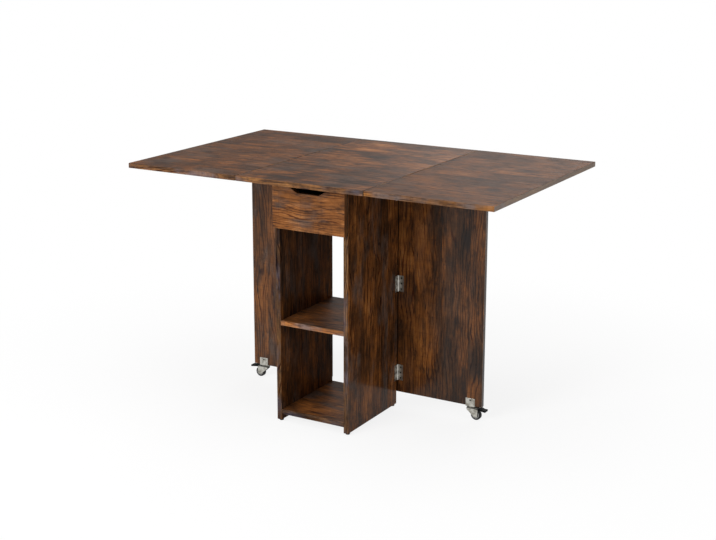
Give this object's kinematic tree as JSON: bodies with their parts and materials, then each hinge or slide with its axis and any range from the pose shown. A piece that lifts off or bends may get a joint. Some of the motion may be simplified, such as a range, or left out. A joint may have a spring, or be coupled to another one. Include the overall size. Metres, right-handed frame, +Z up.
{
  "type": "folding dining table",
  "caption": "Rectangular drop-leaf dining table on a narrow open cabinet with a drawer and shelves, and gates on braked castors that swing out to carry the leaves.",
  "frame": {"origin": "on the floor under the middle of the open table top", "axes": "+Z up, +X along the open table's length, -Y out of the drawer's face"},
  "size_m": [1.2, 0.73, 0.75],
  "materials": {
    "table_top": "rustic brown wood-grain laminate, satin",
    "cabinet_board": "rustic dark brown wood-grain laminate, upright grain",
    "gate_board": "rustic brown wood-grain laminate, upright grain",
    "drawer_front_board": "rustic orange-brown wood-grain laminate, level grain",
    "drawer_box_board": "dark brown laminate board",
    "dowel_wood": "plain hardwood dowel",
    "hinge_metal": "nickel-plated steel",
    "screw_metal": "nickel-plated steel",
    "castor_metal": "zinc-plated pressed steel",
    "runner_metal": "zinc-plated rolled steel",
    "cam_metal": "zinc casting",
    "castor_hub": "grey moulded plastic",
    "castor_tyre": "black rubber",
    "brake_plastic": "black moulded plastic",
    "glide_plastic": "black moulded plastic"
  },
  "bodies": {
    "cabinet": {"top_centre_panel": "table_top", "cabinet_left_side": "cabinet_board", "cabinet_right_side": "cabinet_board", "middle_shelf": "cabinet_board", "bottom_shelf": "cabinet_board", "back_rail": "cabinet_board", "foot_glides": "glide_plastic", "wood_dowels": "dowel_wood", "cam_bolts": "cam_metal", "cam_discs": "cam_metal", "left_cabinet_runner": "runner_metal", "right_cabinet_runner": "runner_metal", "cabinet_runner_screws": "screw_metal", "gate_hinge_cabinet_screws": "screw_metal", "leaf_hinge_centre_screws": "screw_metal", "left_gate_hinge_cabinet_leaves": "hinge_metal", "right_gate_hinge_cabinet_leaves": "hinge_metal", "gate_hinge_pins": "hinge_metal", "left_leaf_hinge_centre_plates": "hinge_metal", "right_leaf_hinge_centre_plates": "hinge_metal", "leaf_hinge_pins": "hinge_metal"},
    "drawer": {"drawer_front": "drawer_front_board", "drawer_left_side": "drawer_box_board", "drawer_right_side": "drawer_box_board", "drawer_back": "drawer_box_board", "drawer_bottom": "drawer_box_board", "left_drawer_runner": "runner_metal", "right_drawer_runner": "runner_metal", "drawer_runner_screws": "screw_metal", "drawer_back_screws": "screw_metal", "drawer_dowels": "dowel_wood"},
    "left_leaf": {"left_leaf_panel": "table_top", "left_leaf_hinge_plates": "hinge_metal", "left_leaf_hinge_screws": "screw_metal"},
    "left_gate": {"left_gate_panel": "gate_board", "left_gate_hinge_leaves": "hinge_metal", "left_gate_hinge_screws": "screw_metal", "left_castor_bracket_screws": "screw_metal", "left_castor_bracket": "castor_metal", "left_castor_king_pin": "castor_metal"},
    "left_castor": {"left_castor_fork": "castor_metal", "left_castor_axle": "castor_metal"},
    "left_wheel": {"left_castor_hub": "castor_hub", "left_castor_tyre": "castor_tyre"},
    "left_brake": {"left_castor_brake_pedal": "brake_plastic"},
    "right_leaf": {"right_leaf_panel": "table_top", "right_leaf_hinge_plates": "hinge_metal", "right_leaf_hinge_screws": "screw_metal"},
    "right_gate": {"right_gate_panel": "gate_board", "right_gate_hinge_leaves": "hinge_metal", "right_gate_hinge_screws": "screw_metal", "right_castor_bracket_screws": "screw_metal", "right_castor_bracket": "castor_metal", "right_castor_king_pin": "castor_metal"},
    "right_castor": {"right_castor_fork": "castor_metal", "right_castor_axle": "castor_metal"},
    "right_wheel": {"right_castor_hub": "castor_hub", "right_castor_tyre": "castor_tyre"},
    "right_brake": {"right_castor_brake_pedal": "brake_plastic"}
  },
  "joints": [
    {"name": "drawer_slide", "type": "slide", "parent": "cabinet", "child": "drawer", "axis": [0, -1, 0], "range_m": [0, 0.19]},
    {"name": "left_leaf_lift", "type": "hinge", "parent": "cabinet", "child": "left_leaf", "pos_m": [-0.211, 0, 0.7346], "axis": [0, 1, 0], "range_deg": [0, 5]},
    {"name": "left_gate_fold", "type": "hinge", "parent": "cabinet", "child": "left_gate", "pos_m": [-0.1229, 0.005, 0.389], "axis": [0, 0, -1], "range_deg": [0, 89]},
    {"name": "left_castor_swivel", "type": "hinge", "parent": "left_gate", "child": "left_castor", "pos_m": [-0.3713, 0.0129, 0.038], "axis": [0, 0, 1], "continuous": true},
    {"name": "left_wheel_roll", "type": "hinge", "parent": "left_castor", "child": "left_wheel", "pos_m": [-0.3883, 0.0129, 0.016], "axis": [0, 1, 0], "continuous": true},
    {"name": "left_brake_press", "type": "hinge", "parent": "left_castor", "child": "left_brake", "pos_m": [-0.3923, 0.0129, 0.0342], "axis": [0, -1, 0], "range_deg": [0, 12]},
    {"name": "right_leaf_lift", "type": "hinge", "parent": "cabinet", "child": "right_leaf", "pos_m": [0.211, 0, 0.7346], "axis": [0, -1, 0], "range_deg": [0, 5]},
    {"name": "right_gate_fold", "type": "hinge", "parent": "cabinet", "child": "right_gate", "pos_m": [0.1229, 0.005, 0.389], "axis": [0, 0, 1], "range_deg": [0, 89]},
    {"name": "right_castor_swivel", "type": "hinge", "parent": "right_gate", "child": "right_castor", "pos_m": [0.3713, 0.0129, 0.038], "axis": [0, 0, 1], "continuous": true},
    {"name": "right_wheel_roll", "type": "hinge", "parent": "right_castor", "child": "right_wheel", "pos_m": [0.3883, 0.0129, 0.016], "axis": [0, 1, 0], "continuous": true},
    {"name": "right_brake_press", "type": "hinge", "parent": "right_castor", "child": "right_brake", "pos_m": [0.3923, 0.0129, 0.0342], "axis": [0, 1, 0], "range_deg": [0, 12]}
  ]
}
